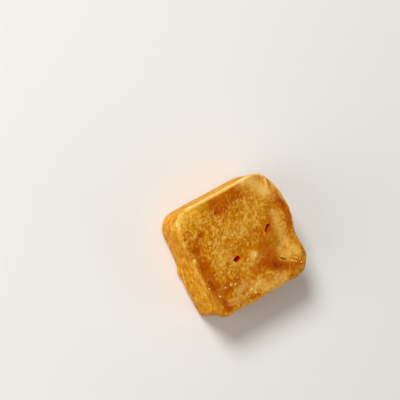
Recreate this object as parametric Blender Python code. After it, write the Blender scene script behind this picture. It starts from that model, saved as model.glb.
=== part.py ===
"""A pineapple cake: one square block of shortcrust, pressed in a mould and browned on its flat faces.

The cake lies on its flat base. +Z is up, -Y is the front wall, +X is on its right, and the origin is the
centre of its box at the base. The block starts as a cube, cut into a grid. Its walls are lofted through
three rounded plans, of the foot, the neck and the rim above it, and then the dough is pushed and creased.
"""

import math

import bmesh
import bpy
from mathutils import Matrix, Vector, noise

NODE = "pineapple_cake"


def mm(*sizes):
    """Millimetres as metres: one size as a number, several as a vector."""
    return sizes[0] * 0.001 if len(sizes) == 1 else Vector(sizes) * 0.001


# The sharp corners of the three plans and the radius that rounds each, anticlockwise seen from above: front
# left, front right, back right, back left. The dough didn't fill the mould's back left corner, and it was
# squeezed out over the neck on the right and at the back.
RIM_PLAN = (
    (mm(-24.0, -25.3), mm(8.0)),
    (mm(24.1, -25.8), mm(4.5)),
    (mm(24.3, 23.0), mm(9.0)),
    (mm(-23.8, 26.3), mm(12.8)),
)
NECK_PLAN = (
    (mm(-24.0, -25.1), mm(8.0)),
    (mm(21.6, -25.4), mm(2.4)),
    (mm(22.3, 22.0), mm(8.5)),
    (mm(-23.9, 25.5), mm(11.5)),
)
FOOT_PLAN = (
    (mm(-24.2, -24.6), mm(8.0)),
    (mm(22.2, -25.8), mm(3.0)),
    (mm(22.0, 21.8), mm(8.5)),
    (mm(-24.1, 25.2), mm(10.0)),
)
FRONT, RIGHT, BACK, LEFT = range(4)

# Heights of the wall and the rim.
RIM_HEIGHT = mm(20.2)
RIM_DEPTH = mm(2.8)
RIM_RADIUS = mm(1.5)
UNDERCUT_HEIGHT = mm(1.2)
WALL_BULGE = mm(0.35)
BASE_RADIUS = mm(2.4)
CROWN_HEIGHT = mm(0.55)

# The grid: steps along each side, how soon the straight rows in the middle of the top face bend into rings
# towards its rim, and the rings of the wall from the base to the top of the rim.
SIDE_STEPS = 44
ROWS_TO_RINGS = 3
BASE_RINGS, WALL_RINGS, UNDERCUT_RINGS, LIP_RINGS, RIM_RINGS = 3, 6, 2, 1, 4
WALL_STEPS = BASE_RINGS + WALL_RINGS + UNDERCUT_RINGS + LIP_RINGS + RIM_RINGS

# The unevenness of the crust: height and size of its swells and crumbs, of the rim's wander in and out, and
# of the sag that makes the rim thick in some places and thin in others. The crumbs have three layers, each
# twice as fine as the last.
SWELL_HEIGHT, SWELL_SIZE = mm(0.3), mm(9.0)
CRUMB_HEIGHT, CRUMB_SIZE = mm(0.15), mm(2.6)
CRUMB_FADE, CRUMB_FINENESS, CRUMB_LAYERS = 0.7, 2.0, 3
WANDER_DEPTH, WANDER_SIZE = mm(0.3), mm(4.5)
SAG_HEIGHT, SAG_SIZE = mm(0.9), mm(7.0)

# Places where the soft dough was pushed: centre, shift, and the reach of the push along each axis.
PUSHES = (
    # the back edge is dented beside the blunt corner, swells out and is pinched in
    (mm(-13.8, 24.8, 18.5), mm(0.0, -0.4, 0.0), mm(3.6, 4.0, 5.0)),
    (mm(-4.0, 25.0, 18.5), mm(0.0, 1.2, 0.0), mm(7.0, 6.0, 6.0)),
    (mm(7.5, 24.0, 18.5), mm(0.0, -0.85, 0.0), mm(5.0, 4.0, 5.0)),
    # the rim swells out a little on the right
    (mm(24.0, -3.5, 18.5), mm(0.3, 0.0, 0.0), mm(4.0, 5.5, 5.0)),
    # the hollow behind the fold, and the lip raised beyond it
    (mm(9.0, 16.5, 20.5), mm(0.0, 0.0, -1.0), mm(5.5, 5.5, 6.0)),
    (mm(14.5, 21.5, 20.5), mm(0.0, 0.3, 0.5), mm(3.6, 3.6, 3.6)),
    (mm(20.5, 15.0, 20.5), mm(-0.3, 0.0, 0.35), mm(4.0, 4.0, 4.0)),
    # the blunt corner sits low, and a flap of dough leans out of it
    (mm(-19.0, 19.0, 20.5), mm(0.0, 0.0, -0.7), mm(5.0, 5.0, 5.0)),
    (mm(-22.5, 19.0, 20.0), mm(-0.8, 0.8, 0.0), mm(3.8, 3.8, 3.5)),
    # a blister near the middle, and a low middle
    (mm(6.1, 0.7, 20.5), mm(0.0, 0.0, 0.3), mm(1.5, 1.5, 3.0)),
    (mm(3.0, -5.0, 20.5), mm(0.0, 0.0, -0.4), mm(9.0, 9.0, 9.0)),
    # the foot of the front wall stands out right of its middle, and starts there with a crag
    (mm(0.2, -25.0, 2.5), mm(0.0, -1.0, 0.0), mm(2.4, 4.0, 2.8)),
    (mm(8.0, -25.0, 3.0), mm(0.0, -1.0, 0.0), mm(8.0, 8.0, 9.0)),
    # the front left corner of the top face is worn down
    (mm(-22.0, -23.5, 20.0), mm(0.0, 0.0, -0.5), mm(4.0, 4.0, 4.0)),
)

# Folds and ridges of the top face as lines on the plan, each with its height, which is negative for a fold,
# and its half width.
CREASES = (
    # the fold that runs into the right corner, with the dough heaped up on its near side
    ((mm(12.8, 10.6), mm(14.6, 12.4), mm(16.8, 15.6), mm(18.6, 18.6)), mm(-0.8), mm(0.85)),
    ((mm(13.6, 9.4), mm(16.3, 11.8), mm(18.7, 15.2)), mm(0.5), mm(1.0)),
    # the ridge along the front edge of the top face, broken in two
    ((mm(-22.0, -24.6), mm(-14.0, -24.9), mm(-7.0, -24.9)), mm(0.28), mm(0.8)),
    ((mm(-3.6, -25.0), mm(4.4, -24.9), mm(9.5, -24.6)), mm(0.42), mm(0.8)),
    # the edge of the flap on the blunt corner, and the pleat that runs in from it
    ((mm(-23.4, 15.5), mm(-21.8, 19.8), mm(-17.6, 23.6), mm(-12.6, 24.9)), mm(0.6), mm(0.9)),
    ((mm(-19.3, 21.6), mm(-17.0, 20.9), mm(-14.9, 20.4)), mm(0.35), mm(0.7)),
)

# The two pricks in the crust: centre on the plan, half sizes, and the way the long one points. They have
# blunt ends: each starts as a ball, whose coordinates are raised to a power below 1 to make it boxy.
PRICKS = (
    ("near_prick", mm(4.6, -6.9), mm(1.5, 1.0, 2.4), math.radians(102)),
    ("far_prick", mm(-0.4, 11.8), mm(2.05, 1.1, 1.7), math.radians(131)),
)
PRICK_SEGMENTS, PRICK_RINGS = 16, 10
PRICK_POWER = 0.7

CRUST_COLOUR = (0.56, 0.24, 0.03, 1.0)
CRUST_ROUGHNESS = 0.55
SHARP_ANGLE = math.radians(50)
TINY = 1e-6


def ease(value):
    """0 below 0, 1 above 1, and a smooth rise between."""
    value = min(max(value, 0.0), 1.0)
    return value * value * (3 - 2 * value)


def turned(vector, angle):
    """A vector of the plan, turned anticlockwise."""
    return Matrix.Rotation(angle, 2) @ vector


def corner_arc(plan, index):
    """The centre and half angle of the arc that rounds a corner, and the points where it starts and ends."""
    corner, radius = plan[index]
    back = (plan[index - 1][0] - corner).normalized()
    ahead = (plan[(index + 1) % 4][0] - corner).normalized()
    half_opening = back.angle(ahead) / 2
    centre = corner + (back + ahead).normalized() * radius / math.sin(half_opening)
    reach = radius / math.tan(half_opening)
    return centre, math.pi / 2 - half_opening, corner + back * reach, corner + ahead * reach


def along_side(plan, side, share):
    """The point and the outward normal, share of the way along a side of a plan.

    A side runs from the middle of one corner's arc to the middle of the next one's.
    """
    first_centre, first_angle, _, straight_start = corner_arc(plan, side)
    last_centre, last_angle, straight_end, _ = corner_arc(plan, (side + 1) % 4)
    first_radius, last_radius = plan[side][1], plan[(side + 1) % 4][1]
    straight = straight_end - straight_start
    outward = Vector((straight.y, -straight.x)).normalized()
    first_length, last_length = first_radius * first_angle, last_radius * last_angle
    distance = share * (first_length + straight.length + last_length) - first_length
    if distance < 0:
        normal = turned(outward, distance / first_radius)
        return first_centre + normal * first_radius, normal
    if distance < straight.length:
        return straight_start + straight * distance / straight.length, outward
    normal = turned(outward, (distance - straight.length) / last_radius)
    return last_centre + normal * last_radius, normal


def side_and_share(u, v):
    """Which side of the square a point on its edge is on, and how far along that side."""
    if v <= -1 + TINY and u < 1 - TINY:
        return FRONT, (u + 1) / 2
    if u >= 1 - TINY and v < 1 - TINY:
        return RIGHT, (v + 1) / 2
    if v >= 1 - TINY and u > -1 + TINY:
        return BACK, (1 - u) / 2
    return LEFT, (1 - v) / 2


def ring_profile(ring):
    """The plans below and above a ring of the wall, its share of the way up, its inset and its height."""
    if ring <= BASE_RINGS:
        angle = ring / BASE_RINGS * math.pi / 2
        inset, height = BASE_RADIUS * (1 - math.sin(angle)), BASE_RADIUS * (1 - math.cos(angle))
        return FOOT_PLAN, NECK_PLAN, 0.0, inset, height
    ring -= BASE_RINGS
    neck_height = RIM_HEIGHT - RIM_DEPTH
    if ring <= WALL_RINGS:
        rise = ring / WALL_RINGS
        bulge = WALL_BULGE * math.sin(math.pi * rise)
        return FOOT_PLAN, NECK_PLAN, rise, -bulge, BASE_RADIUS + (neck_height - BASE_RADIUS) * rise
    ring -= WALL_RINGS
    if ring <= UNDERCUT_RINGS:
        rise = ring / UNDERCUT_RINGS
        return NECK_PLAN, RIM_PLAN, ease(rise), 0.0, neck_height + UNDERCUT_HEIGHT * rise
    angle = (ring - UNDERCUT_RINGS - LIP_RINGS) / RIM_RINGS * math.pi / 2
    inset, drop = RIM_RADIUS * (1 - math.cos(angle)), RIM_RADIUS * (1 - math.sin(angle))
    return NECK_PLAN, RIM_PLAN, 1.0, inset, RIM_HEIGHT - drop


def wall_point(side, share, ring):
    """A point of the smooth wall and the outward normal of the plan there."""
    lower_plan, upper_plan, rise, inset, height = ring_profile(ring)
    lower, lower_normal = along_side(lower_plan, side, share)
    upper, upper_normal = along_side(upper_plan, side, share)
    normal = lower_normal.lerp(upper_normal, rise).normalized()
    point = lower.lerp(upper, rise) - normal * inset
    return point.to_3d() + Vector((0, 0, height)), normal.to_3d()


def top_point(u, v):
    """A point of the smooth top face: straight rows in its middle, and rings along its rim."""
    reach = max(abs(u), abs(v), TINY)
    edge, _ = wall_point(*side_and_share(u / reach, v / reach), WALL_STEPS)
    right, back = RIM_PLAN[RIGHT][0].x, RIM_PLAN[BACK][0].y
    rows = Vector((u * right, v * back))
    point = rows.lerp(edge.to_2d() * reach, reach ** ROWS_TO_RINGS)
    crown = CROWN_HEIGHT * (1 - u * u) * (1 - v * v)
    return point.to_3d() + Vector((0, 0, RIM_HEIGHT + crown))


def distance_to(line, point):
    """The distance from a point of the plan to a line, and how far along the line that is, from 0 to 1."""
    found = []
    for index, start in enumerate(line[:-1]):
        run = line[index + 1] - start
        along = min(max((point - start).dot(run) / run.length_squared, 0.0), 1.0)
        found.append(((point - start - run * along).length, (index + along) / (len(line) - 1)))
    return min(found)


def crease_height(point):
    """What the folds and ridges add to the height of the top face. Each fades out at its two ends."""
    height = 0.0
    for line, amount, half_width in CREASES:
        distance, along = distance_to(line, point)
        fade = math.sqrt(max(math.sin(math.pi * along), 0.0))
        height += amount * fade * math.exp(-((distance / half_width) ** 2))
    return height


def pushed(point):
    """The point after every push of the dough."""
    moved = point.copy()
    for centre, shift, reach in PUSHES:
        away = point - centre
        spread = Vector((away.x / reach.x, away.y / reach.y, away.z / reach.z))
        moved += shift * math.exp(-spread.length_squared)
    return moved


def dough(point, normal, plan_normal):
    """Pushes, creases and roughens a point of the smooth block, more above the flat base."""
    above_base = ease(point.z / BASE_RADIUS)
    above_neck = point.z - RIM_HEIGHT + RIM_DEPTH
    near_rim = ease(above_neck / UNDERCUT_HEIGHT)
    near_neck = math.exp(-((above_neck / UNDERCUT_HEIGHT) ** 2))
    on_top = ease((point.z - RIM_HEIGHT + RIM_RADIUS) / RIM_RADIUS)
    swell = SWELL_HEIGHT * noise.noise(point / SWELL_SIZE)
    crumb = CRUMB_HEIGHT * noise.fractal(point / CRUMB_SIZE, CRUMB_FADE, CRUMB_FINENESS, CRUMB_LAYERS)
    wander = WANDER_DEPTH * noise.noise(point / WANDER_SIZE)
    sag = SAG_HEIGHT * noise.noise(point / SAG_SIZE)
    moved = pushed(point)
    moved.z += (crease_height(point.to_2d()) + swell) * on_top + sag * near_neck
    return moved + normal * crumb * above_base + plan_normal * wander * near_rim


def laid(corner):
    """Where a point of the cube, whose corners are at 1 and -1, lies on the cake."""
    u, v, w = corner
    if max(abs(u), abs(v)) > 1 - TINY:
        ring = round((w + 1) / 2 * WALL_STEPS)
        point, plan_normal = wall_point(*side_and_share(u, v), ring)
        on_rim = max(ring - WALL_STEPS + RIM_RINGS, 0) / RIM_RINGS
        normal = plan_normal.lerp(Vector((0, 0, 1)), on_rim)
        return dough(point, normal, plan_normal * (1 - on_rim))
    return dough(top_point(u, v), Vector((0, 0, 1)), Vector())


def block():
    """The block of dough: a cube whose top and walls are a grid and whose base is one flat face."""
    cube = bmesh.new()
    bmesh.ops.create_cube(cube, size=2.0)
    upright = [e for e in cube.edges if abs(e.verts[0].co.z - e.verts[1].co.z) > 1]
    level = [e for e in cube.edges if e not in upright]
    bmesh.ops.subdivide_edges(cube, edges=level, cuts=SIDE_STEPS - 1, use_grid_fill=True)
    upright = [e for e in cube.edges if abs(e.verts[0].co.z - e.verts[1].co.z) > 1]
    bmesh.ops.subdivide_edges(cube, edges=upright, cuts=WALL_STEPS - 1, use_grid_fill=True)
    base = [f for f in cube.faces if all(v.co.z < -1 + TINY for v in f.verts)]
    bmesh.ops.dissolve_faces(cube, faces=base, use_verts=True)
    for vertex in cube.verts:
        vertex.co = laid(vertex.co)
    return cube


def centre_on_base(mesh):
    """Moves the mesh so that its box is centred over the origin, base at height 0, and returns the shift."""
    low = Vector([min(v.co[axis] for v in mesh.verts) for axis in range(3)])
    high = Vector([max(v.co[axis] for v in mesh.verts) for axis in range(3)])
    shift = -Vector(((low.x + high.x) / 2, (low.y + high.y) / 2, low.z))
    bmesh.ops.translate(mesh, verts=mesh.verts[:], vec=shift)
    return shift


def new_object(name, mesh, collection_name):
    """An object with the mesh, in the collection of that name."""
    data = bpy.data.meshes.new(name)
    mesh.to_mesh(data)
    mesh.free()
    made = bpy.data.objects.new(name, data)
    collection = bpy.data.collections.get(collection_name)
    if collection is None:
        collection = bpy.data.collections.new(collection_name)
        bpy.context.scene.collection.children.link(collection)
    collection.objects.link(made)
    return made


def crust_material():
    """Golden baked shortcrust, a little shiny from its butter."""
    material = bpy.data.materials.new("baked_crust")
    material.use_nodes = True
    shader = material.node_tree.nodes["Principled BSDF"]
    shader.inputs["Base Color"].default_value = CRUST_COLOUR
    shader.inputs["Roughness"].default_value = CRUST_ROUGHNESS
    shader.inputs["Metallic"].default_value = 0.0
    material.diffuse_color = CRUST_COLOUR
    return material


def prick_cutter(name, centre, half_sizes, direction, shift):
    """A boxy ball set upright in the crust: its lower half cuts the prick."""
    mesh = bmesh.new()
    bmesh.ops.create_uvsphere(mesh, u_segments=PRICK_SEGMENTS, v_segments=PRICK_RINGS, radius=1.0)
    for vertex in mesh.verts:
        vertex.co = [math.copysign(abs(value) ** PRICK_POWER, value) for value in vertex.co]
    bmesh.ops.scale(mesh, verts=mesh.verts[:], vec=half_sizes)
    cutter = new_object(name, mesh, "cutters")
    cutter.location = centre.to_3d() + Vector((0, 0, RIM_HEIGHT + CROWN_HEIGHT / 2)) + shift
    cutter.rotation_euler.z = direction
    cutter.hide_render = True
    cutter.display_type = "WIRE"
    return cutter


def main():
    for obj in list(bpy.data.objects):
        bpy.data.objects.remove(obj, do_unlink=True)
    mesh = block()
    shift = centre_on_base(mesh)
    cake = new_object(NODE, mesh, "pineapple_cake_parts")
    cake.data.materials.append(crust_material())
    cake.data.shade_smooth()
    cake.data.set_sharp_from_angle(angle=SHARP_ANGLE)
    for name, centre, half_sizes, direction in PRICKS:
        cut = cake.modifiers.new(name, "BOOLEAN")
        cut.operation = "DIFFERENCE"
        cut.object = prick_cutter(name, centre, half_sizes, direction, shift)


if __name__ == "__main__":
    main()
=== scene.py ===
"""The looks of the pineapple cake: its crust, as a fine mesh of the solid's form, browned and flecked.

The functions of the form are the solid's own, laid on a finer grid. Places on the plan are those of the
dough before centre_on_base moves its box over the origin. Sizes are metres.
"""

import math

import bmesh
import bpy
from mathutils import Matrix, Quaternion, Vector, noise
from mathutils.bvhtree import BVHTree


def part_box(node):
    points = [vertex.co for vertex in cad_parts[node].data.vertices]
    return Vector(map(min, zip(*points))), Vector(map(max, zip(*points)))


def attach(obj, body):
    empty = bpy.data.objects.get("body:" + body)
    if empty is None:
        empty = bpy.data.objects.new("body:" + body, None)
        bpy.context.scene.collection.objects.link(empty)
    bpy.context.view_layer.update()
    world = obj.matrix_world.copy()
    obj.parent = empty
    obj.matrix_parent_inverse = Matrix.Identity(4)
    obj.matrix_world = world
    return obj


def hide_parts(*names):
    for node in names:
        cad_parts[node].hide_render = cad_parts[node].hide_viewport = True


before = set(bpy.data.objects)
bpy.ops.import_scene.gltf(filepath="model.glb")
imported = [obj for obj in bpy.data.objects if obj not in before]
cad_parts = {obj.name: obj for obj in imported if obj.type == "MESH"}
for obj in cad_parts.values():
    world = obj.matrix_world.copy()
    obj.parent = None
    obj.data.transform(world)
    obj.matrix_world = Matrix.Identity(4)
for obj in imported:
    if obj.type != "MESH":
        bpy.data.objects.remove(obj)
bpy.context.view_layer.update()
NODE = "pineapple_cake"
BODY = "root"

# How the flecks bend and where the edges of the tints wander comes from this seed, the same in every run.
NOISE_SEED = 1
noise.seed_set(NOISE_SEED)


def mm(*sizes):
    """Millimetres as metres: one size as a number, several as a vector."""
    return sizes[0] * 0.001 if len(sizes) == 1 else Vector(sizes) * 0.001


# The sharp corners of the three plans and the radius that rounds each, anticlockwise seen from above: front
# left, front right, back right, back left.
RIM_PLAN = (
    (mm(-24.0, -25.3), mm(8.0)),
    (mm(24.1, -25.8), mm(4.5)),
    (mm(24.3, 23.0), mm(9.0)),
    (mm(-23.8, 26.3), mm(12.8)),
)
NECK_PLAN = (
    (mm(-24.0, -25.1), mm(8.0)),
    (mm(21.6, -25.4), mm(2.4)),
    (mm(22.3, 22.0), mm(8.5)),
    (mm(-23.9, 25.5), mm(11.5)),
)
FOOT_PLAN = (
    (mm(-24.2, -24.6), mm(8.0)),
    (mm(22.2, -25.8), mm(3.0)),
    (mm(22.0, 21.8), mm(8.5)),
    (mm(-24.1, 25.2), mm(10.0)),
)
FRONT, RIGHT, BACK, LEFT = range(4)

# Heights of the wall and the rim.
RIM_HEIGHT = mm(20.2)
RIM_DEPTH = mm(2.8)
RIM_RADIUS = mm(1.5)
UNDERCUT_HEIGHT = mm(1.2)
WALL_BULGE = mm(0.35)
BASE_RADIUS = mm(2.4)
CROWN_HEIGHT = mm(0.55)

# The grid, about 0.25 mm wide and 0.4 mm high.
SIDE_STEPS = 200
ROWS_TO_RINGS = 3
BASE_RINGS, WALL_RINGS, UNDERCUT_RINGS, LIP_RINGS, RIM_RINGS = 8, 36, 5, 1, 9
WALL_STEPS = BASE_RINGS + WALL_RINGS + UNDERCUT_RINGS + LIP_RINGS + RIM_RINGS

# The unevenness of the form: height and size of its swells and crumbs, of the rim's wander in and out, and
# of the sag that makes the rim thick in some places and thin in others. Where noise has layers, each is
# finer than the one before by the fineness, and the higher the fade, the weaker it is.
FINENESS = 2.0
SWELL_HEIGHT, SWELL_SIZE = mm(0.3), mm(9.0)
CRUMB_HEIGHT, CRUMB_SIZE = mm(0.15), mm(2.6)
CRUMB_FADE, CRUMB_LAYERS = 0.7, 3
WANDER_DEPTH, WANDER_SIZE = mm(0.3), mm(4.5)
SAG_HEIGHT, SAG_SIZE = mm(0.9), mm(7.0)

# Places where the soft dough was pushed: centre, shift, and the reach of the push along each axis.
PUSHES = (
    # the back edge is dented beside the blunt corner, swells out and is pinched in
    (mm(-13.8, 24.8, 18.5), mm(0.0, -0.4, 0.0), mm(3.6, 4.0, 5.0)),
    (mm(-4.0, 25.0, 18.5), mm(0.0, 1.2, 0.0), mm(7.0, 6.0, 6.0)),
    (mm(7.5, 24.0, 18.5), mm(0.0, -0.85, 0.0), mm(5.0, 4.0, 5.0)),
    # the rim swells out a little on the right
    (mm(24.0, -3.5, 18.5), mm(0.3, 0.0, 0.0), mm(4.0, 5.5, 5.0)),
    # the hollow behind the fold, and the lip raised beyond it
    (mm(9.0, 16.5, 20.5), mm(0.0, 0.0, -1.0), mm(5.5, 5.5, 6.0)),
    (mm(14.5, 21.5, 20.5), mm(0.0, 0.3, 0.5), mm(3.6, 3.6, 3.6)),
    (mm(20.5, 15.0, 20.5), mm(-0.3, 0.0, 0.35), mm(4.0, 4.0, 4.0)),
    # the blunt corner sits low, and a flap of dough leans out of it
    (mm(-19.0, 19.0, 20.5), mm(0.0, 0.0, -0.7), mm(5.0, 5.0, 5.0)),
    (mm(-22.5, 19.0, 20.0), mm(-0.8, 0.8, 0.0), mm(3.8, 3.8, 3.5)),
    # a blister near the middle, and a low middle
    (mm(6.1, 0.7, 20.5), mm(0.0, 0.0, 0.3), mm(1.5, 1.5, 3.0)),
    (mm(3.0, -5.0, 20.5), mm(0.0, 0.0, -0.4), mm(9.0, 9.0, 9.0)),
    # the foot of the front wall stands out right of its middle, and starts there with a crag
    (mm(0.2, -25.0, 2.5), mm(0.0, -1.0, 0.0), mm(2.4, 4.0, 2.8)),
    (mm(8.0, -25.0, 3.0), mm(0.0, -1.0, 0.0), mm(8.0, 8.0, 9.0)),
    # the front left corner of the top face is worn down
    (mm(-22.0, -23.5, 20.0), mm(0.0, 0.0, -0.5), mm(4.0, 4.0, 4.0)),
)

# Folds and ridges of the top face as lines on the plan, each with its height, which is negative for a fold,
# and its half width. The last ones are finer than the solid's.
CREASES = (
    # the fold that runs into the right corner, with the dough heaped up on its near side
    ((mm(12.8, 10.6), mm(14.6, 12.4), mm(16.8, 15.6), mm(18.6, 18.6)), mm(-0.8), mm(0.85)),
    ((mm(13.6, 9.4), mm(16.3, 11.8), mm(18.7, 15.2)), mm(0.5), mm(1.0)),
    # the ridge along the front edge of the top face, broken in two
    ((mm(-22.0, -24.6), mm(-14.0, -24.9), mm(-7.0, -24.9)), mm(0.28), mm(0.8)),
    ((mm(-3.6, -25.0), mm(4.4, -24.9), mm(9.5, -24.6)), mm(0.42), mm(0.8)),
    # the edge of the flap on the blunt corner, and the pleat that runs in from it
    ((mm(-23.4, 15.5), mm(-21.8, 19.8), mm(-17.6, 23.6), mm(-12.6, 24.9)), mm(0.6), mm(0.9)),
    ((mm(-19.3, 21.6), mm(-17.0, 20.9), mm(-14.9, 20.4)), mm(0.35), mm(0.7)),
    # the slit in the fold, and the two thin edges of dough along it
    ((mm(13.2, 11.7), mm(14.6, 12.8), mm(15.8, 14.4)), mm(-0.65), mm(0.28)),
    ((mm(13.2, 12.5), mm(14.4, 13.6), mm(15.2, 15.0)), mm(0.22), mm(0.4)),
    ((mm(13.8, 11.0), mm(15.4, 12.2), mm(16.6, 14.4)), mm(0.22), mm(0.35)),
    # wrinkles beyond the fold
    ((mm(16.9, 15.9), mm(17.9, 17.8), mm(18.6, 19.6)), mm(0.2), mm(0.3)),
    ((mm(15.6, 16.4), mm(16.8, 17.8), mm(17.4, 19.2)), mm(0.16), mm(0.3)),
)

# The two pricks in the crust: centre on the plan, half sizes, and the way the long one points. They have
# blunt ends: each starts as a ball, whose coordinates are raised to a power below 1 to make it boxy.
PRICKS = (
    ("near_prick", mm(4.6, -6.9), mm(1.5, 1.0, 2.4), math.radians(102)),
    ("far_prick", mm(-0.4, 11.8), mm(2.05, 1.1, 1.7), math.radians(131)),
)
PRICK_SEGMENTS, PRICK_RINGS = 48, 32
PRICK_POWER = 0.7
# How rough a prick's wall is and over what size, and how far out its edge is scorched, with the wall at 1.
PRICK_ROUGHNESS, PRICK_ROUGHNESS_SIZE, PRICK_EDGE = 0.12, 0.9, 1.15

# The cream specks on the top face, sugar beads whose pale colour is a painted glint: where they are on the
# plan, and their radius, in millimetres.
GLINT_SPECKS = (
    (13.6, -12.6, 0.38),
    (13.0, -14.6, 0.42),
    (12.8, -17.4, 0.34),
    (15.0, -21.1, 0.38),
    (9.9, -24.0, 0.3),
    (21.0, -5.9, 0.4),
    (18.8, -6.8, 0.36),
    (18.4, -4.0, 0.24),
    (-3.1, -24.5, 0.48),
    (-19.8, -23.2, 0.4),
    (19.3, 19.3, 0.32),
    (16.9, 18.6, 0.24),
    (-6.7, -15.6, 0.22),
)
# How fine a speck's mesh is, how uneven and how flat it is, as shares of its radius, and its finish, whose
# pale cream is a painted glint.
SPECK_SUBDIVISIONS, SPECK_UNEVENNESS, SPECK_FLATNESS = 2, 0.5, 0.7
SPECK_GLINT_COLOUR, SPECK_ROUGHNESS, SPECK_SHEEN = (0.96, 0.76, 0.38, 1), 0.4, 0.2
# Turns metres into the steps by which the noise differs from one speck or prick to the next.
NOISE_STEPS = 1000

# The fine relief of the crust, as height and size: its grain, the lumps of the top face, and the rub marks
# of the mould down the walls.
GRAIN_HEIGHT, GRAIN_SIZE, GRAIN_FADE, GRAIN_LAYERS = mm(0.09), mm(0.75), 0.6, 3
LUMP_HEIGHT, LUMP_SIZE = mm(0.1), mm(1.7)
RUB_HEIGHT, RUB_SIZE, RUB_LENGTH = mm(0.03), mm(0.55), mm(2.5)
RUB_FADE, RUB_LAYERS = 0.8, 2

# The flecks that stand on the top face: bent lines where a noise is near 0, drawn out aslant and with gaps,
# and blobs where another noise is high.
FLECK_HEIGHT, FLECK_SIZE, FLECK_WIDTH = mm(0.1), mm(1.9), 0.2
FLECK_BEND, FLECK_BEND_SIZE = 0.7, mm(1.3)
FLECK_STRETCH = 1.5
FLECK_GAP, FLECK_COVER = mm(2.6), 0.25
BLOB_SIZE, BLOB_BEND, BLOB_LEAST, BLOB_EDGE = mm(1.3), 0.6, 0.2, 0.3

# The pores: their depth, their spacing, and their radius as a share of that. Their centres, scaled, give
# the noise that says how wide each is and whether it is open.
PORE_DEPTH, PORE_SPACING, PORE_RADIUS = mm(0.2), mm(1.5), 0.24
PORE_WIDTH_SCALE, PORE_OPEN_SCALE = 9.7, 5.3

# How brown the crust is, from 0 for pale dough to 1 for dark brown, and how much pale bloom lies on it:
# on the top face, and on the walls and the rounding of the rim, each as front, right, back and left. The
# walls and the rim hold painted light and shade too: the left side is paler as painted light, the front
# rim browner as painted shade on its lit rounding, and the right and back rims paler as painted highlights
# along their edges.
TOP_BROWNING, TOP_BLOOM = 0.5, 0.0
WALL_BROWNING_AND_SHADE, WALL_BLOOM_AND_LIGHT = (0.4, 0.4, 0.4, 0.3), (0.0, 0.05, 0.05, 0.1)
RIM_BROWNING_AND_SHADE, RIM_BLOOM_AND_HIGHLIGHT = (0.55, 0.4, 0.4, 0.2), (0.0, 0.55, 0.35, 0.2)
FOOT_BROWNING, FOOT_HEIGHT = 0.3, mm(1.3)
# The streaks of the walls, which run along them and rise a little: what they take from the browning and add
# to the bloom, how strong a streak has to be to bloom, their length and width, and their slope.
STREAK_BROWNING, STREAK_BLOOM, LEAST_STREAK = 0.2, 0.6, 0.1
STREAK_LENGTH, STREAK_WIDTH, STREAK_SLOPE = mm(3.4), mm(1.4), 0.3
STREAK_FADE, STREAK_LAYERS = 0.7, 2
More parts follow.
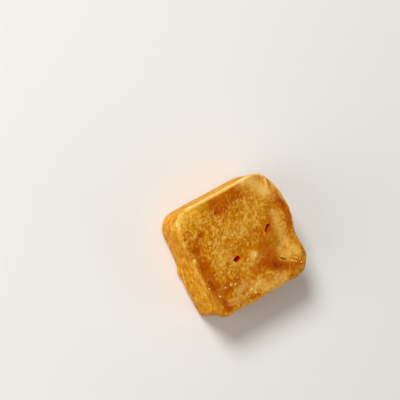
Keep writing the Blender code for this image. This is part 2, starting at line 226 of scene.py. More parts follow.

# Where the top face is browner or paler than elsewhere: a line on the plan and its half width, both in
# millimetres, what it adds to the browning and to the bloom, and how smooth it is there, from 0 for mottled
# and flecked to 1 for even, or below 0 for rougher. A bloom above 1 goes on to cream. Some rows are
# painted light and shade, as their notes say.
TINTS = (
    # the dark band along the left rim, darkest and reddest at its front end
    (((-19.8, 7.0), (-18.6, 3.0), (-18.0, -1.0), (-18.2, -6.0)), 3.2, 0.29, -0.05, 0.6),
    (((-22.0, 5.0), (-22.0, -6.6)), 1.2, 0.1, 0.0, 0.6),
    (((-21.2, -5.0), (-20.0, -7.0)), 1.4, 0.12, 0.0, 0.7),
    (((-17.0, -6.6), (-16.6, -7.2)), 0.5, 0.25, 0.0, 0.2),
    # the dark band along the front edge, and the crack in it, whose dark line is painted shade
    (((-12.6, -15.8), (-11.8, -17.4)), 1.1, 0.2, 0.0, 0.2),
    (((-11.0, -18.2), (-8.6, -20.4), (-6.8, -23.4)), 2.0, 0.18, 0.0, 0.5),
    (((-7.0, -21.6), (-3.0, -22.2), (0.6, -22.2)), 1.8, 0.2, 0.0, 0.4),
    (((0.6, -20.8), (5.0, -21.2), (10.4, -21.4)), 1.8, 0.22, 0.0, 0.5),
    (((1.0, -23.0), (7.0, -23.4), (12.0, -22.8)), 1.0, 0.16, 0.0, 0.4),
    (((7.2, -23.2), (8.6, -22.6), (9.9, -22.1)), 0.35, 0.4, 0.0, 0.0),
    (((12.0, -22.2), (16.5, -21.6), (21.0, -20.4)), 2.0, 0.2, 0.0, 0.5),
    (((17.2, -20.2), (17.8, -20.5)), 0.45, 0.3, 0.0, 0.0),
    (((-17.3, -21.8), (-13.3, -21.9)), 0.35, 0.25, 0.0, 0.0),
    # a dark line just inside the front ridge, painted shade
    (((-12.8, -24.2), (-10.4, -23.4), (-9.0, -24.6)), 0.7, 0.25, 0.0, 0.0),
    # the dark wedge in the right corner, and amber dough from there to the far prick and the middle
    (((19.4, 17.2), (18.6, 13.5), (17.2, 11.0), (15.0, 8.8)), 2.4, 0.25, 0.0, 0.7),
    (((15.0, 8.8), (12.6, 5.6), (11.0, 2.6)), 1.8, 0.05, 0.0, 0.3),
    (((13.0, 8.6), (17.5, 9.4)), 1.8, 0.04, 0.0, 0.5),
    (((16.8, 9.5), (15.6, 5.5)), 1.8, 0.16, 0.0, 0.6),
    (((13.4, 5.0), (12.8, 1.4), (12.6, -1.0)), 2.4, 0.14, 0.0, 0.5),
    (((13.4, 9.0), (8.5, 8.6), (3.5, 8.0), (-1.0, 8.6)), 2.6, 0.15, 0.0, 0.6),
    (((10.4, 12.4), (5.5, 12.8), (1.0, 12.6)), 1.6, 0.07, 0.0, 0.8),
    (((-1.8, 14.2), (-4.4, 14.6)), 1.8, 0.16, 0.0, 0.4),
    (((5.0, 5.4), (11.0, 4.4)), 2.8, 0.11, 0.0, 0.5),
    (((9.5, 6.5), (11.5, 2.0), (12.0, -2.0)), 2.4, 0.08, 0.0, 0.3),
    (((-2.5, 4.0), (0.5, 1.0), (2.0, -3.5)), 2.2, 0.05, 0.0, 0.4),
    # the dark band along the back edge, pale dough beyond it, partly a painted highlight along the edge,
    # and the brown patch left of it
    (((-8.2, 22.0), (-4.0, 22.4), (1.6, 22.2)), 2.1, 0.28, 0.0, 0.6),
    (((-12.0, 25.4), (-6.0, 25.1), (0.5, 24.7), (4.0, 24.4)), 0.7, -0.2, 0.4, 0.2),
    (((-12.5, 22.0), (-8.2, 22.4)), 1.8, 0.12, 0.0, 0.3),
    (((-7.8, 22.7), (-6.6, 22.9)), 0.8, 0.12, 0.0, 0.5),
    (((3.0, 21.8), (6.0, 20.8), (8.6, 20.8)), 1.3, 0.12, 0.0, 0.6),
    (((-11.8, 19.2), (-10.4, 17.2), (-8.8, 15.6)), 2.0, 0.12, 0.0, 0.1),
    (((14.8, 22.4), (16.8, 22.2)), 0.8, 0.22, 0.0, 0.3),
    (((17.0, 19.6), (17.4, 20.4)), 0.6, 0.2, 0.0, 0.0),
    # the dark right edge, the dark patch among the specks, and brown spots
    (((22.0, -3.5), (21.9, -13.5)), 0.9, 0.2, -0.1, 0.3),
    (((21.6, -16.5), (21.2, -20.0)), 0.9, 0.1, -0.1, 0.3),
    (((11.8, -9.8), (12.6, -12.8), (12.4, -16.5)), 2.4, 0.17, 0.0, 0.4),
    (((14.6, -15.2), (14.8, -18.4)), 1.1, 0.14, 0.0, 0.4),
    (((13.5, -18.4), (20.5, -19.6)), 2.8, 0.12, 0.0, 0.4),
    (((18.8, -9.5), (18.4, -13.5)), 0.5, 0.2, 0.0, 0.2),
    (((22.2, 11.6), (22.6, 12.6)), 0.7, 0.25, 0.0, 0.0),
    (((21.0, 5.4), (20.8, 6.2)), 0.6, 0.2, 0.0, 0.0),
    (((4.4, -11.4), (4.8, -11.9)), 0.6, 0.3, 0.0, 0.2),
    (((-13.8, 4.2), (-12.9, 3.2)), 0.6, 0.3, 0.0, 0.2),
    (((-8.8, 6.9), (-8.2, 6.6)), 0.5, 0.3, 0.0, 0.0),
    (((-2.6, 5.2), (-2.2, 4.8)), 0.5, 0.3, 0.0, 0.0),
    # the smooth pale hollow behind the fold
    (((-4.4, 17.9), (0.0, 17.0), (7.0, 16.8)), 2.0, -0.12, 0.42, 0.1),
    (((9.6, 13.6), (11.8, 13.0), (13.4, 15.6)), 1.6, -0.1, 0.38, 0.3),
    (((9.0, 17.6), (12.4, 18.4), (14.6, 20.0)), 1.8, -0.1, 0.38, 0.2),
    # the slit and the light streaks along it, the slit itself darkened as painted shade
    (((13.0, 11.9), (14.4, 13.4), (15.4, 14.8)), 0.45, -0.3, 0.5, 0.8),
    (((13.4, 10.9), (14.8, 12.0), (15.9, 13.9)), 0.4, -0.2, 0.35, 0.8),
    (((15.2, 14.2), (17.0, 16.0), (18.4, 17.6)), 0.4, -0.3, 0.45, 0.8),
    (((13.4, 11.9), (14.6, 12.8), (15.6, 14.1)), 0.26, 0.25, -0.6, 0.5),
    # the pale mottled middle, the blister with a painted highlight along its back edge, the patch before
    # it, and pale patches among the strokes
    (((-12.0, 9.0), (-7.0, 5.0), (-6.0, 0.5)), 3.6, -0.06, 0.08, 0.0),
    (((6.3, 1.0), (6.8, 0.9)), 1.3, -0.3, 1.1, 0.9),
    (((5.8, 1.7), (7.3, 1.5)), 0.45, -0.2, 0.5, 0.5),
    (((-5.6, 2.0), (-4.2, -0.2)), 0.8, -0.15, 0.45, 0.0),
    (((-5.4, 8.8), (-4.2, 8.2)), 0.5, -0.12, 0.4, 0.0),
    (((-16.4, 8.6), (-15.4, 7.4)), 0.5, -0.12, 0.4, 0.0),
    (((8.2, -1.4), (8.9, -2.8)), 1.2, -0.1, 0.25, 0.0),
    (((-6.0, -9.0), (-2.0, -13.0), (2.4, -12.4)), 3.2, -0.08, 0.08, 0.0),
    (((1.0, -9.6), (2.6, -13.4), (3.2, -15.6)), 1.4, -0.08, 0.16, 0.0),
    (((-17.2, -14.6), (-16.4, -15.0)), 0.8, -0.2, 0.45, 0.3),
    (((-12.6, -19.2), (-11.8, -20.6)), 0.7, -0.2, 0.45, 0.2),
    (((-11.8, -10.4), (-11.4, -11.4)), 0.7, -0.2, 0.4, 0.2),
    # the pale dough round the near prick
    (((3.2, -8.4), (4.8, -9.2), (6.2, -8.2)), 0.6, -0.15, 0.35, 0.5),
    (((6.4, -6.0), (6.9, -7.4)), 0.6, -0.15, 0.3, 0.4),
    # the tan right side, and the pale edge of its rim, partly a painted highlight
    (((24.0, 10.0), (24.1, -4.0), (23.9, -21.0)), 0.6, -0.25, 0.6, 0.7),
    (((21.0, 8.0), (21.4, 3.0), (20.4, -1.6)), 2.2, -0.06, 0.48, 0.1),
    (((17.2, -1.8), (18.6, -4.6), (19.4, -6.6)), 1.2, -0.18, 0.6, 0.0),
    (((15.4, -8.6), (16.6, -11.0), (17.2, -13.0)), 1.4, 0.14, 0.5, 0.5),
    (((20.4, -10.4), (21.2, -13.2)), 1.2, 0.08, 0.35, 0.4),
    (((19.4, -14.4), (18.2, -18.6)), 0.6, 0.0, 0.45, 0.3),
    (((20.8, -15.2), (20.2, -19.0)), 0.7, 0.04, 0.4, 0.3),
    # the smooth blunt corner, with the edge of its flap painted bright as a highlight, its pleat and the
    # bumps beyond
    (((-22.5, 12.4), (-20.0, 16.0), (-15.4, 17.6)), 2.8, -0.16, 0.75, 0.6),
    (((-15.6, 19.2), (-13.6, 19.4)), 1.5, -0.14, 0.5, 0.6),
    (((-24.2, 13.0), (-24.1, 17.5), (-23.0, 20.2), (-20.4, 22.3)), 0.7, -0.5, 1.4, 0.9),
    (((-20.4, 22.3), (-16.2, 23.9), (-12.2, 25.1)), 0.6, -0.5, 1.3, 0.9),
    (((-22.5, 17.4), (-21.6, 19.0), (-20.6, 20.2)), 0.4, -0.3, 1.3, 0.8),
    (((-19.4, 20.9), (-17.0, 20.8), (-14.8, 20.4)), 0.4, -0.15, 0.95, 0.6),
    (((-14.0, 22.6), (-10.6, 21.2)), 1.4, -0.03, 0.2, 0.0),
    (((-11.0, 24.8), (-8.5, 24.8), (-6.2, 25.6)), 1.0, -0.06, 0.7, 0.3),
    # the front left corner, golden as painted light on its slope and with a painted glint on its edge,
    # amber before it, and the pale stripe on the left rim, a painted highlight
    (((-21.8, -9.6), (-21.2, -14.6)), 2.0, -0.12, 0.0, 0.6),
    (((-21.6, -15.6), (-20.8, -20.4)), 2.0, -0.28, 0.0, 0.3),
    (((-22.4, -21.0), (-20.0, -23.6), (-16.6, -24.6)), 2.0, -0.3, 0.12, -0.4),
    (((-21.2, -23.8), (-20.0, -24.6)), 0.7, -0.3, 1.2, 0.0),
    (((-24.2, -18.5), (-23.2, -22.2), (-20.6, -24.8), (-16.0, -25.6)), 1.0, 0.2, 0.0, -0.5),
    (((-19.2, -10.0), (-18.8, -13.0), (-18.8, -20.0)), 0.6, -0.2, 0.1, 0.3),
    (((-23.8, 12.0), (-23.9, -4.0), (-23.8, -17.5)), 0.7, -0.25, 1.15, 0.9),
    # the smooth front edge near the right corner, and the pale ridge left of there, broken in two, a
    # painted highlight on the ridge
    (((12.0, -24.6), (16.5, -24.8), (20.5, -24.4)), 1.2, -0.02, 0.1, 0.8),
    (((-15.0, -25.3), (-11.0, -25.4), (-7.0, -25.3)), 0.35, -0.15, 0.25, 0.3),
    (((-3.0, -25.4), (4.0, -25.4), (9.5, -25.3)), 0.35, -0.15, 0.25, 0.3),
)
# How far the edges of the wide tints wander, and how large the waves are. Tints whose half width is below
# the least one lie just where they are put. The reach is how many half widths from its line a tint shows.
TINT_WANDER = ((mm(0.8), mm(4.0)), (mm(0.5), mm(1.2)))
LEAST_WANDERING = mm(1.45)
TINT_REACH = 2.5
# How mottled the crust is at least, and on the walls. The plain top face is at 1.
LEAST_MOTTLING, WALL_MOTTLING = 0.15, 0.75

# What the mesh keeps at each point for the crust's material.
FIELDS = ("browning_and_shade", "bloom_and_highlight", "mottled", "fleck")

# The angle between two faces from which their edge is sharp, and a number too small to count.
SHARP_ANGLE = math.radians(50)
TINY = 1e-6

# The crust's colours from pale dough to dark brown, with the browning where each is reached.
CRUST_COLOURS = (
    (0.00, (0.91, 0.56, 0.11, 1)),
    (0.25, (0.74, 0.33, 0.010, 1)),
    (0.50, (0.56, 0.200, 0.002, 1)),
    (0.75, (0.46, 0.095, 0.0010, 1)),
    (1.00, (0.31, 0.042, 0.0006, 1)),
)
# The other colours, of the bloom and the cream beyond it, which are pale dough and painted highlights,
# of the flecks and of the pricks, how much of theirs the flecks show, and the sheen of butter.
BLOOM_AND_HIGHLIGHT_COLOUR = (0.85, 0.515, 0.125, 1)
CREAM_AND_HIGHLIGHT_COLOUR = (0.95, 0.74, 0.36, 1)
FLECK_COLOUR = (0.84, 0.52, 0.09, 1)
PRICK_COLOURS = {"near_prick": (0.60, 0.02, 0.006, 1), "far_prick": (0.54, 0.11, 0.005, 1)}
FLECK_SHARE = 0.7
SHEEN, SHEEN_COLOUR = 0.04, (1.0, 0.6, 0.15, 1)

# The mottles of the crust: their size, how much they add to the browning and take from it, and whether they
# are round, drawn out down the walls, or drawn out aslant.
MOTTLES = (
    (mm(3.0), 0.4, "round"),
    (mm(1.1), 0.7, "down"),
    (mm(0.8), 1.0, "aslant"),
    (mm(0.5), 0.45, "round"),
)
MOTTLE_DETAIL, MOTTLE_ROUGHNESS = 3.0, 0.6
# How mottles are drawn out, as scales along x, y and z, and the way that those aslant and the flecks lie.
DOWN_SCALE, ASLANT_SCALE = (1, 1, 0.35), (0.4, 1, 0.6)
SLANT = math.radians(-35)
# The crumbs: their size, how much their browning varies, and how far they bulge in the bump.
CRUMB_CELL, CRUMB_TONE, CRUMB_DOME = mm(0.42), 0.14, 0.4
# The crust's roughness, how much it changes from place to place and over what size, and its bump.
ROUGHNESS, ROUGHNESS_CHANGE, ROUGHNESS_SIZE = 0.5, 0.3, mm(1.5)
BUMP_SIZE, BUMP_DETAIL, BUMP_HEIGHT, BUMP_STRENGTH = mm(0.3), 4.0, mm(0.2), 0.7
# The numbers of the mix node's sockets when it blends colours.
MIX_SHARE, MIX_FIRST, MIX_SECOND, MIX_RESULT = 0, 6, 7, 2

# The camera, fitted to the cake's outline in the photograph. The cake leans there, so the camera is rolled.
# Its lens is in millimetres.
CAMERA_AIM = mm(-23.59, -5.44, 10.0)
CAMERA_DISTANCE = mm(686.4)
CAMERA_AZIMUTH = math.radians(-13.35)
CAMERA_ELEVATION = math.radians(66.25)
CAMERA_ROLL = math.radians(76.07)
CAMERA_LENS = 145.74

# The lights, each with its azimuth and elevation in degrees, its distance and size in metres, and its power
# in watts: a round softbox on the left, a wide low one in front and a low card at the back. An even fill
# comes from all round.
LIGHTS = (
    ("key", -70, 45, 1.5, 0.6, 16.6),
    ("front", -12, 22, 1.3, 1.1, 6.6),
    ("card", 134, 14, 1.2, 0.9, 2.8),
)
FILL_STRENGTH = 0.23
FILL_COLOUR = (1.0, 0.86, 0.77, 1)
FLOOR_SIZE, FLOOR_COLOUR = 6.0, (0.90, 0.91, 0.89, 1)
FLOOR_ROUGHNESS, FLOOR_SHEEN = 0.8, 0.1


def ease(value):
    """0 below 0, 1 above 1, and a smooth rise between."""
    value = min(max(value, 0.0), 1.0)
    return value * value * (3 - 2 * value)


def turned(vector, angle):
    """A vector of the plan, turned anticlockwise."""
    return Matrix.Rotation(angle, 2) @ vector


def corner_arc(plan, index):
    """The centre and half angle of the arc that rounds a corner, and the arc's first and last points."""
    corner, radius = plan[index]
    back = (plan[index - 1][0] - corner).normalized()
    ahead = (plan[(index + 1) % 4][0] - corner).normalized()
    half_opening = back.angle(ahead) / 2
    centre = corner + (back + ahead).normalized() * radius / math.sin(half_opening)
    reach = radius / math.tan(half_opening)
    return centre, math.pi / 2 - half_opening, corner + back * reach, corner + ahead * reach


def along_side(plan, side, share):
    """The point and the outward normal, share of the way along a side of a plan.

    A side runs from the middle of one corner's arc to the middle of the next one's.
    """
    first_centre, first_angle, _, straight_start = corner_arc(plan, side)
    last_centre, last_angle, straight_end, _ = corner_arc(plan, (side + 1) % 4)
    first_radius, last_radius = plan[side][1], plan[(side + 1) % 4][1]
    straight = straight_end - straight_start
    outward = Vector((straight.y, -straight.x)).normalized()
    first_length, last_length = first_radius * first_angle, last_radius * last_angle
    distance = share * (first_length + straight.length + last_length) - first_length
    if distance < 0:
        normal = turned(outward, distance / first_radius)
        return first_centre + normal * first_radius, normal
    if distance < straight.length:
        return straight_start + straight * distance / straight.length, outward
    normal = turned(outward, (distance - straight.length) / last_radius)
    return last_centre + normal * last_radius, normal


def side_and_share(u, v):
    """Which side of the square a point on its edge is on, and how far along that side."""
    if v <= -1 + TINY and u < 1 - TINY:
        return FRONT, (u + 1) / 2
    if u >= 1 - TINY and v < 1 - TINY:
        return RIGHT, (v + 1) / 2
    if v >= 1 - TINY and u > -1 + TINY:
        return BACK, (1 - u) / 2
    return LEFT, (1 - v) / 2


def ring_profile(ring):
    """The plans below and above a ring of the wall, its share of the way up, its inset and its height."""
    if ring <= BASE_RINGS:
        angle = ring / BASE_RINGS * math.pi / 2
        inset, height = BASE_RADIUS * (1 - math.sin(angle)), BASE_RADIUS * (1 - math.cos(angle))
        return FOOT_PLAN, NECK_PLAN, 0.0, inset, height
    ring -= BASE_RINGS
    neck_height = RIM_HEIGHT - RIM_DEPTH
    if ring <= WALL_RINGS:
        rise = ring / WALL_RINGS
        bulge = WALL_BULGE * math.sin(math.pi * rise)
        return FOOT_PLAN, NECK_PLAN, rise, -bulge, BASE_RADIUS + (neck_height - BASE_RADIUS) * rise
    ring -= WALL_RINGS
    if ring <= UNDERCUT_RINGS:
        rise = ring / UNDERCUT_RINGS
        return NECK_PLAN, RIM_PLAN, ease(rise), 0.0, neck_height + UNDERCUT_HEIGHT * rise
    angle = (ring - UNDERCUT_RINGS - LIP_RINGS) / RIM_RINGS * math.pi / 2
    inset, drop = RIM_RADIUS * (1 - math.cos(angle)), RIM_RADIUS * (1 - math.sin(angle))
    return NECK_PLAN, RIM_PLAN, 1.0, inset, RIM_HEIGHT - drop


def wall_point(side, share, ring):
    """A point of the smooth wall and the outward normal of the plan there."""
    lower_plan, upper_plan, rise, inset, height = ring_profile(ring)
    lower, lower_normal = along_side(lower_plan, side, share)
    upper, upper_normal = along_side(upper_plan, side, share)
    normal = lower_normal.lerp(upper_normal, rise).normalized()
    point = lower.lerp(upper, rise) - normal * inset
    return point.to_3d() + Vector((0, 0, height)), normal.to_3d()


def top_point(u, v):
    """A point of the smooth top face: straight rows in its middle, and rings along its rim."""
    reach = max(abs(u), abs(v), TINY)
    edge, _ = wall_point(*side_and_share(u / reach, v / reach), WALL_STEPS)
    right, back = RIM_PLAN[RIGHT][0].x, RIM_PLAN[BACK][0].y
    rows = Vector((u * right, v * back))
    point = rows.lerp(edge.to_2d() * reach, reach ** ROWS_TO_RINGS)
    crown = CROWN_HEIGHT * (1 - u * u) * (1 - v * v)
    return point.to_3d() + Vector((0, 0, RIM_HEIGHT + crown))


def distance_to(line, point):
    """The distance from a point of the plan to a line, and how far along the line that is, from 0 to 1."""
    found = []
    for index, start in enumerate(line[:-1]):
        run = line[index + 1] - start
        along = min(max((point - start).dot(run) / run.length_squared, 0.0), 1.0)
        found.append(((point - start - run * along).length, (index + along) / (len(line) - 1)))
    return min(found)


def crease_height(point):
    """What the folds and ridges add to the height of the top face. Each fades out at its two ends."""
    height = 0.0
    for line, amount, half_width in CREASES:
        distance, along = distance_to(line, point)
        fade = math.sqrt(max(math.sin(math.pi * along), 0.0))
        height += amount * fade * math.exp(-((distance / half_width) ** 2))
    return height


def pushed(point):
    """The point after every push of the dough."""
    moved = point.copy()
    for centre, shift, reach in PUSHES:
        away = point - centre
        spread = Vector((away.x / reach.x, away.y / reach.y, away.z / reach.z))
        moved += shift * math.exp(-spread.length_squared)
    return moved


def fleck(point):
    """How much of a fleck there is at a point, from 0 to 1: short stretches of curly lines, and blobs."""
    across = turned(point.to_2d(), -SLANT)
    point = Vector((across.x / FLECK_STRETCH, across.y, point.z))
    bent = point / FLECK_SIZE + noise.noise_vector(point / FLECK_BEND_SIZE) * FLECK_BEND
    line = ease(1 - abs(noise.noise(bent)) / FLECK_WIDTH)
    gap = ease((noise.noise(point / FLECK_GAP) + FLECK_COVER) / (2 * FLECK_COVER))
    blob = ease((noise.noise(point / BLOB_SIZE + bent * BLOB_BEND) - BLOB_LEAST) / BLOB_EDGE)
    return max(line * gap, blob)


def pore(point):
    """How deep in a pore a point is, from 0 to 1. About every second pore is open."""
    distances, centres = noise.voronoi(point / PORE_SPACING)
    radius = PORE_RADIUS * (1 + noise.noise(centres[0] * PORE_WIDTH_SCALE))
    is_open = noise.noise(centres[0] * PORE_OPEN_SCALE) > 0
    return ease(1 - distances[0] / radius) if is_open else 0.0


def relief(point, on_top, flecked):
    """The height of the fine relief at a point."""
    grain = GRAIN_HEIGHT * noise.fractal(point / GRAIN_SIZE, GRAIN_FADE, FINENESS, GRAIN_LAYERS)
    rubbed = Vector((point.x / RUB_SIZE, point.y / RUB_SIZE, point.z / RUB_LENGTH))
    rub = RUB_HEIGHT * noise.fractal(rubbed, RUB_FADE, FINENESS, RUB_LAYERS)
    lump = LUMP_HEIGHT * noise.noise(point / LUMP_SIZE) * on_top
    return grain + lump + rub * (1 - on_top) + FLECK_HEIGHT * flecked - PORE_DEPTH * pore(point)


def by_side(normal, values):
    """Blends the values for front, right, back and left by where the plan's normal points."""
    across = values[RIGHT] if normal.x > 0 else values[LEFT]
    along = values[BACK] if normal.y > 0 else values[FRONT]
    return across * normal.x**2 + along * normal.y**2


def streak(point):
    """How strong a pale streak of the walls is at a point, or a brown one where it is below 0."""
    height = point.z + STREAK_SLOPE * (point.x - point.y)
    drawn = Vector((point.x / STREAK_LENGTH, point.y / STREAK_LENGTH, height / STREAK_WIDTH))
    return noise.fractal(drawn, STREAK_FADE, FINENESS, STREAK_LAYERS)


def tint_row(line, half_width, *amounts):
    """A tint in metres, with the middle of its line and how far from there it still shows."""
    corners = tuple(mm(*corner) for corner in line)
    middle = (corners[0] + corners[-1]) / 2
    reach = max((corner - middle).length for corner in corners) + TINT_REACH * mm(half_width)
    return corners, middle, reach, mm(half_width), amounts


TINT_ROWS = tuple(tint_row(*row) for row in TINTS)


def tint(point, plan_normal, on_top, on_rim):
    """The crust's browning and bloom at a point, with their painted light and shade, and how mottled it is.
    """
    if plan_normal.length_squared:
        browning_and_shade = by_side(plan_normal, WALL_BROWNING_AND_SHADE)
        browning_and_shade += (by_side(plan_normal, RIM_BROWNING_AND_SHADE) - browning_and_shade) * on_rim
        bloom_and_highlight = by_side(plan_normal, WALL_BLOOM_AND_LIGHT)
        bloom_and_highlight += (by_side(plan_normal, RIM_BLOOM_AND_HIGHLIGHT) - bloom_and_highlight) * on_rim
    else:
        browning_and_shade, bloom_and_highlight = TOP_BROWNING, TOP_BLOOM
    browning_and_shade += (TOP_BROWNING - browning_and_shade) * on_top
    bloom_and_highlight += (TOP_BLOOM - bloom_and_highlight) * on_top
    browning_and_shade += FOOT_BROWNING * math.exp(-((point.z / FOOT_HEIGHT) ** 2))
    streaked = streak(point) * (1 - on_top)
    browning_and_shade -= STREAK_BROWNING * streaked
    bloom_and_highlight += STREAK_BLOOM * max(streaked - LEAST_STREAK, 0.0)
    mottled = WALL_MOTTLING + (1 - WALL_MOTTLING) * on_top
    wandered = point.copy()
    for amount, size in TINT_WANDER:
        wandered += noise.noise_vector(point / size) * amount
    for line, middle, reach, half_width, (more_browning_and_shade, more_bloom_and_highlight, smooth) in TINT_ROWS:
        place = (wandered if half_width > LEAST_WANDERING else point).to_2d()
        if on_rim > 0 and (place - middle).length < reach:
            distance, _ = distance_to(line, place)
            share = math.exp(-((distance / half_width) ** 2)) * on_rim
            browning_and_shade += more_browning_and_shade * share
            bloom_and_highlight += more_bloom_and_highlight * share
            mottled -= smooth * share
    return browning_and_shade, bloom_and_highlight, max(mottled, LEAST_MOTTLING)


def dough(point, normal, plan_normal, on_rim):
    """Pushes, creases and roughens a point of the smooth block, and gives its browning, bloom and fleck.

    The browning and the bloom hold painted light and shade as well as the crust's own colour.
    """
    above_base = ease(point.z / BASE_RADIUS)
    above_neck = point.z - RIM_HEIGHT + RIM_DEPTH
    near_rim = ease(above_neck / UNDERCUT_HEIGHT)
    near_neck = math.exp(-((above_neck / UNDERCUT_HEIGHT) ** 2))
    on_top = ease((point.z - RIM_HEIGHT + RIM_RADIUS) / RIM_RADIUS)
    swell = SWELL_HEIGHT * noise.noise(point / SWELL_SIZE)
    crumb = CRUMB_HEIGHT * noise.fractal(point / CRUMB_SIZE, CRUMB_FADE, FINENESS, CRUMB_LAYERS)
    wander = WANDER_DEPTH * noise.noise(point / WANDER_SIZE)
    sag = SAG_HEIGHT * noise.noise(point / SAG_SIZE)
    browning_and_shade, bloom_and_highlight, mottled = tint(point, plan_normal, on_rim * on_top, max(near_rim, on_rim))
    flecked = fleck(point) * on_top * mottled
    moved = pushed(point)
    moved.z += (crease_height(point.to_2d()) + swell) * on_top + sag * near_neck
    moved += normal * (crumb + relief(point, on_top, flecked)) * above_base
    moved += plan_normal * (1 - on_rim) * wander * near_rim
    return moved, (browning_and_shade, bloom_and_highlight, mottled, flecked)


def laid(corner):
    """Where a point of the cube, with corners at 1 and -1, lies on the cake, and how it is coloured."""
    u, v, w = corner
    if max(abs(u), abs(v)) > 1 - TINY:
        ring = round((w + 1) / 2 * WALL_STEPS)
        point, plan_normal = wall_point(*side_and_share(u, v), ring)
        on_rim = max(ring - WALL_STEPS + RIM_RINGS, 0) / RIM_RINGS
        normal = plan_normal.lerp(Vector((0, 0, 1)), on_rim)
        return dough(point, normal, plan_normal, on_rim)
    return dough(top_point(u, v), Vector((0, 0, 1)), Vector(), 1.0)


def block():
    """The block of dough: a cube whose top and walls are a fine grid and whose base is one flat face."""
    cube = bmesh.new()
    bmesh.ops.create_cube(cube, size=2.0)
    base = [f for f in cube.faces if all(v.co.z < 0 for v in f.verts)]
    bmesh.ops.delete(cube, geom=base, context="FACES_ONLY")
    upright = [e for e in cube.edges if abs(e.verts[0].co.z - e.verts[1].co.z) > 1]
    level = [e for e in cube.edges if e not in upright]
    bmesh.ops.subdivide_edges(cube, edges=level, cuts=SIDE_STEPS - 1, use_grid_fill=True)
    upright = [e for e in cube.edges if abs(e.verts[0].co.z - e.verts[1].co.z) > 1]
    bmesh.ops.subdivide_edges(cube, edges=upright, cuts=WALL_STEPS - 1, use_grid_fill=True)
    bmesh.ops.edgeloop_fill(cube, edges=[e for e in cube.edges if e.is_boundary])
    layers = [cube.verts.layers.float.new(name) for name in FIELDS]
    for vertex in cube.verts:
        vertex.co, values = laid(vertex.co)
        for layer, value in zip(layers, values):
            vertex[layer] = value
    return cube


def centre_on_base(mesh):
    """Moves the mesh so that its box is centred where the solid's is, base at 0, and returns the shift."""
    low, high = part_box(NODE)
    middle = (Vector(low) + Vector(high)) / 2
    found_low = Vector([min(v.co[axis] for v in mesh.verts) for axis in range(3)])
    found_high = Vector([max(v.co[axis] for v in mesh.verts) for axis in range(3)])
    found_middle = (found_low + found_high) / 2
    shift = Vector((middle.x - found_middle.x, middle.y - found_middle.y, -found_low.z))
    bmesh.ops.translate(mesh, verts=mesh.verts[:], vec=shift)
    return shift


def new_object(name, mesh):
    """A mesh object in the scene."""
    data = bpy.data.meshes.new(name)
    mesh.to_mesh(data)
    mesh.free()
    made = bpy.data.objects.new(name, data)
    bpy.context.scene.collection.objects.link(made)
    return made


def prick_cutter(name, centre, half_sizes, way, shift):
    """A rough boxy ball set upright in the crust: its lower half cuts the prick."""
    mesh = bmesh.new()
    bmesh.ops.create_uvsphere(mesh, u_segments=PRICK_SEGMENTS, v_segments=PRICK_RINGS, radius=1.0)
    for vertex in mesh.verts:
        rough = noise.noise(vertex.co / PRICK_ROUGHNESS_SIZE + centre.to_3d() * NOISE_STEPS)
        boxy = Vector([math.copysign(abs(value) ** PRICK_POWER, value) for value in vertex.co])
        vertex.co = boxy * (1 + PRICK_ROUGHNESS * rough)
    bmesh.ops.scale(mesh, verts=mesh.verts[:], vec=half_sizes)
    bmesh.ops.rotate(mesh, verts=mesh.verts[:], matrix=Matrix.Rotation(way, 3, "Z"))
    place = centre.to_3d() + Vector((0, 0, RIM_HEIGHT + CROWN_HEIGHT / 2)) + shift
    bmesh.ops.translate(mesh, verts=mesh.verts[:], vec=place)
    return new_object(name, mesh)


def in_prick(away, half_sizes):
    """1 inside a prick, 0 outside, with a narrow scorched edge between.

    away is where the point lies, seen from the prick's centre and along its own axes.
    """
    power = 2 / PRICK_POWER
    reach = abs(away.x / half_sizes.x) ** power + abs(away.y / half_sizes.y) ** power
    return ease((PRICK_EDGE - reach ** (1 / power)) / (PRICK_EDGE - 1))


def add_node(tree, kind, inputs=None, **settings):
    """A shader node with its settings, and its inputs set to values or joined to other nodes' outputs."""
    made = tree.nodes.new(kind)
    for name, value in settings.items():
        setattr(made, name, value)
    for key, value in (inputs or {}).items():
        if isinstance(value, bpy.types.NodeSocket):
            tree.links.new(value, made.inputs[key])
        else:
            made.inputs[key].default_value = value
    return made


def calc(tree, operation, first, second):
    """The result of a sum on two values or sockets."""
    return add_node(tree, "ShaderNodeMath", {0: first, 1: second}, operation=operation).outputs[0]


def field(tree, name):
    """A value stored on the mesh's points."""
    return add_node(tree, "ShaderNodeAttribute", attribute_name=name).outputs["Fac"]


def speckle(tree, place, size, detail=MOTTLE_DETAIL):
    """Noise between about -0.5 and 0.5, with the size of its specks in metres."""
    inputs = {"Vector": place, "Scale": 1 / size, "Detail": detail, "Roughness": MOTTLE_ROUGHNESS}
    found = add_node(tree, "ShaderNodeTexNoise", inputs)
    return calc(tree, "SUBTRACT", found.outputs["Fac"], 0.5)


def blend_colour(tree, share, first, second):
    """Mixes two colours by share."""
    inputs = {MIX_SHARE: share, MIX_FIRST: first, MIX_SECOND: second}
    return add_node(tree, "ShaderNodeMix", inputs, data_type="RGBA").outputs[MIX_RESULT]


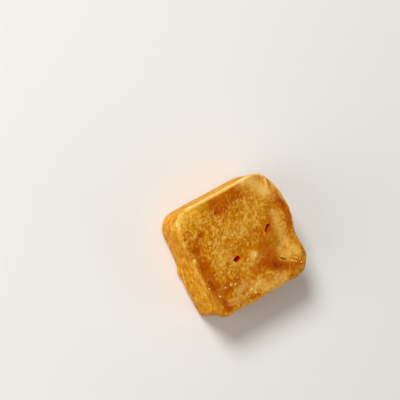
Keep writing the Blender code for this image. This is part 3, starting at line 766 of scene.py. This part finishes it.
def crust_material():
    """Baked shortcrust: browned through the fields on the mesh, mottled, flecked and finely grained.

    The browning and bloom fields carry painted light and shade as well as the crust's own colour.
    """
    material = bpy.data.materials.new("baked_crust")
    material.use_nodes = True
    tree = material.node_tree
    shader = tree.nodes["Principled BSDF"]
    place = add_node(tree, "ShaderNodeTexCoord").outputs["Object"]
    down = add_node(tree, "ShaderNodeMapping", {"Vector": place, "Scale": DOWN_SCALE}).outputs[0]
    turn = {"Vector": place, "Rotation": (0, 0, SLANT), "Scale": ASLANT_SCALE}
    aslant = add_node(tree, "ShaderNodeMapping", turn).outputs[0]
    places = {"round": place, "down": down, "aslant": aslant}

    crumbs = add_node(tree, "ShaderNodeTexVoronoi", {"Vector": place, "Scale": 1 / CRUMB_CELL})
    crumb_colour = add_node(tree, "ShaderNodeSeparateColor", {"Color": crumbs.outputs["Color"]})
    crumb_tone = calc(tree, "SUBTRACT", crumb_colour.outputs["Red"], 0.5)
    mottles = calc(tree, "MULTIPLY", crumb_tone, CRUMB_TONE)
    for size, amount, drawn in MOTTLES:
        found = speckle(tree, places[drawn], size)
        mottles = calc(tree, "ADD", mottles, calc(tree, "MULTIPLY", found, amount))
    mottles = calc(tree, "MULTIPLY", mottles, field(tree, "mottled"))
    browning_and_shade = calc(tree, "ADD", field(tree, "browning_and_shade"), mottles)
    ramp = add_node(tree, "ShaderNodeValToRGB", {"Fac": browning_and_shade})
    stops = ramp.color_ramp.elements
    for position, _ in CRUST_COLOURS[1:-1]:
        stops.new(position)
    for stop, (position, colour) in zip(stops, CRUST_COLOURS):
        stop.position, stop.color = position, colour

    flecked = calc(tree, "MULTIPLY", field(tree, "fleck"), FLECK_SHARE)
    bloom_and_highlight = field(tree, "bloom_and_highlight")
    colour = blend_colour(tree, bloom_and_highlight, ramp.outputs["Color"], BLOOM_AND_HIGHLIGHT_COLOUR)
    colour = blend_colour(tree, calc(tree, "SUBTRACT", bloom_and_highlight, 1.0), colour, CREAM_AND_HIGHLIGHT_COLOUR)
    colour = blend_colour(tree, flecked, colour, FLECK_COLOUR)
    for name, prick_colour in PRICK_COLOURS.items():
        colour = blend_colour(tree, field(tree, name), colour, prick_colour)
    tree.links.new(colour, shader.inputs["Base Color"])

    change = calc(tree, "MULTIPLY", speckle(tree, place, ROUGHNESS_SIZE), ROUGHNESS_CHANGE)
    tree.links.new(calc(tree, "ADD", change, ROUGHNESS), shader.inputs["Roughness"])
    shader.inputs["Specular IOR Level"].default_value = SHEEN
    shader.inputs["Specular Tint"].default_value = SHEEN_COLOUR

    domes = calc(tree, "MULTIPLY", crumbs.outputs["Distance"], CRUMB_DOME)
    grain = calc(tree, "SUBTRACT", speckle(tree, place, BUMP_SIZE, BUMP_DETAIL), domes)
    inputs = {"Height": grain, "Distance": BUMP_HEIGHT, "Strength": BUMP_STRENGTH}
    bump = add_node(tree, "ShaderNodeBump", inputs)
    tree.links.new(bump.outputs["Normal"], shader.inputs["Normal"])
    return material


def make_cake():
    """The cake: the fine block with the pricks cut out of it."""
    mesh = block()
    shift = centre_on_base(mesh)
    rough = new_object("rough_cake", mesh)
    cutters = [prick_cutter(*prick, shift) for prick in PRICKS]
    for cutter in cutters:
        cut = rough.modifiers.new(cutter.name, "BOOLEAN")
        cut.operation = "DIFFERENCE"
        cut.object = cutter
    seen = rough.evaluated_get(bpy.context.evaluated_depsgraph_get())
    cake = bpy.data.objects.new("baked_cake", bpy.data.meshes.new_from_object(seen))
    bpy.context.scene.collection.objects.link(cake)
    for spare in (rough, *cutters):
        bpy.data.objects.remove(spare, do_unlink=True)
    for name, centre, half_sizes, way in PRICKS:
        inside = cake.data.attributes.new(name, "FLOAT", "POINT")
        for vertex in cake.data.vertices:
            away = turned((vertex.co - shift).to_2d() - centre, -way)
            inside.data[vertex.index].value = in_prick(away, half_sizes)
    cake.data.materials.clear()
    cake.data.materials.append(crust_material())
    cake.data.shade_smooth()
    cake.data.set_sharp_from_angle(angle=SHARP_ANGLE)
    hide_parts(NODE)
    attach(cake, BODY)
    return cake, shift


def make_glint_specks(cake, shift):
    """The cream specks on the crust: rough little balls, half sunk in it, as one piece, pale as painted
    glints.
    """
    surface = BVHTree.FromObject(cake, bpy.context.evaluated_depsgraph_get())
    # each speck drops onto the crust from well above it
    above = Vector((shift.x, shift.y, 2 * RIM_HEIGHT))
    specks = bmesh.new()
    for x, y, radius in GLINT_SPECKS:
        found, *_ = surface.ray_cast(mm(x, y, 0.0) + above, Vector((0, 0, -1)))
        ball = bmesh.ops.create_icosphere(specks, subdivisions=SPECK_SUBDIVISIONS, radius=mm(radius))
        made = ball["verts"]
        for vertex in made:
            sample = vertex.co / mm(radius) + mm(x, y, 0.0) * NOISE_STEPS
            vertex.co *= 1 + SPECK_UNEVENNESS * noise.noise(sample)
        bmesh.ops.scale(specks, verts=made, vec=(1, 1, SPECK_FLATNESS))
        bmesh.ops.translate(specks, verts=made, vec=found)
    piece = new_object("sugar_specks_and_glints", specks)
    piece.data.materials.append(speck_glint_material())
    piece.data.shade_smooth()
    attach(piece, BODY)


def speck_glint_material():
    """Cream coloured sugar, a little glossy, its paleness a painted glint."""
    material = bpy.data.materials.new("cream_sugar_and_glint")
    material.use_nodes = True
    shader = material.node_tree.nodes["Principled BSDF"]
    shader.inputs["Base Color"].default_value = SPECK_GLINT_COLOUR
    shader.inputs["Roughness"].default_value = SPECK_ROUGHNESS
    shader.inputs["Specular IOR Level"].default_value = SPECK_SHEEN
    return material


def make_stage():
    """The floor, the lights and the even fill."""
    bpy.ops.mesh.primitive_plane_add(size=FLOOR_SIZE)
    floor = bpy.context.object
    floor.name = "floor"
    material = bpy.data.materials.new("pale_floor")
    material.use_nodes = True
    shader = material.node_tree.nodes["Principled BSDF"]
    shader.inputs["Base Color"].default_value = FLOOR_COLOUR
    shader.inputs["Roughness"].default_value = FLOOR_ROUGHNESS
    shader.inputs["Specular IOR Level"].default_value = FLOOR_SHEEN
    floor.data.materials.append(material)

    for light in LIGHTS:
        make_light(*light)
    world = bpy.data.worlds.new("studio")
    world.use_nodes = True
    world.node_tree.nodes["Background"].inputs["Strength"].default_value = FILL_STRENGTH
    world.node_tree.nodes["Background"].inputs["Color"].default_value = FILL_COLOUR
    bpy.context.scene.world = world


def direction(azimuth, elevation):
    """The way from the cake to a camera or a light. Azimuth 0 is in front of it, and 90 on its right."""
    return Vector(
        (
            math.sin(azimuth) * math.cos(elevation),
            -math.cos(azimuth) * math.cos(elevation),
            math.sin(elevation),
        )
    )


def make_light(name, azimuth, elevation, distance, size, power):
    """A round soft light that faces the cake."""
    lamp = bpy.data.lights.new(name, "AREA")
    lamp.shape = "DISK"
    lamp.size = size
    lamp.energy = power
    light = bpy.data.objects.new(name, lamp)
    towards = direction(math.radians(azimuth), math.radians(elevation))
    light.location = towards * distance
    light.rotation_euler = towards.to_track_quat("Z", "Y").to_euler()
    bpy.context.scene.collection.objects.link(light)


def make_camera():
    """The camera of the photograph."""
    data = bpy.data.cameras.new("camera")
    data.lens = CAMERA_LENS
    camera = bpy.data.objects.new("camera", data)
    back = direction(CAMERA_AZIMUTH, CAMERA_ELEVATION)
    level = back.to_track_quat("Z", "Y")
    camera.rotation_mode = "QUATERNION"
    camera.rotation_quaternion = level @ Quaternion((0, 0, 1), CAMERA_ROLL)
    camera.location = CAMERA_AIM + back * CAMERA_DISTANCE
    bpy.context.scene.collection.objects.link(camera)
    bpy.context.scene.camera = camera


make_glint_specks(*make_cake())
make_stage()
make_camera()
bpy.context.scene.view_settings.view_transform = "Standard"
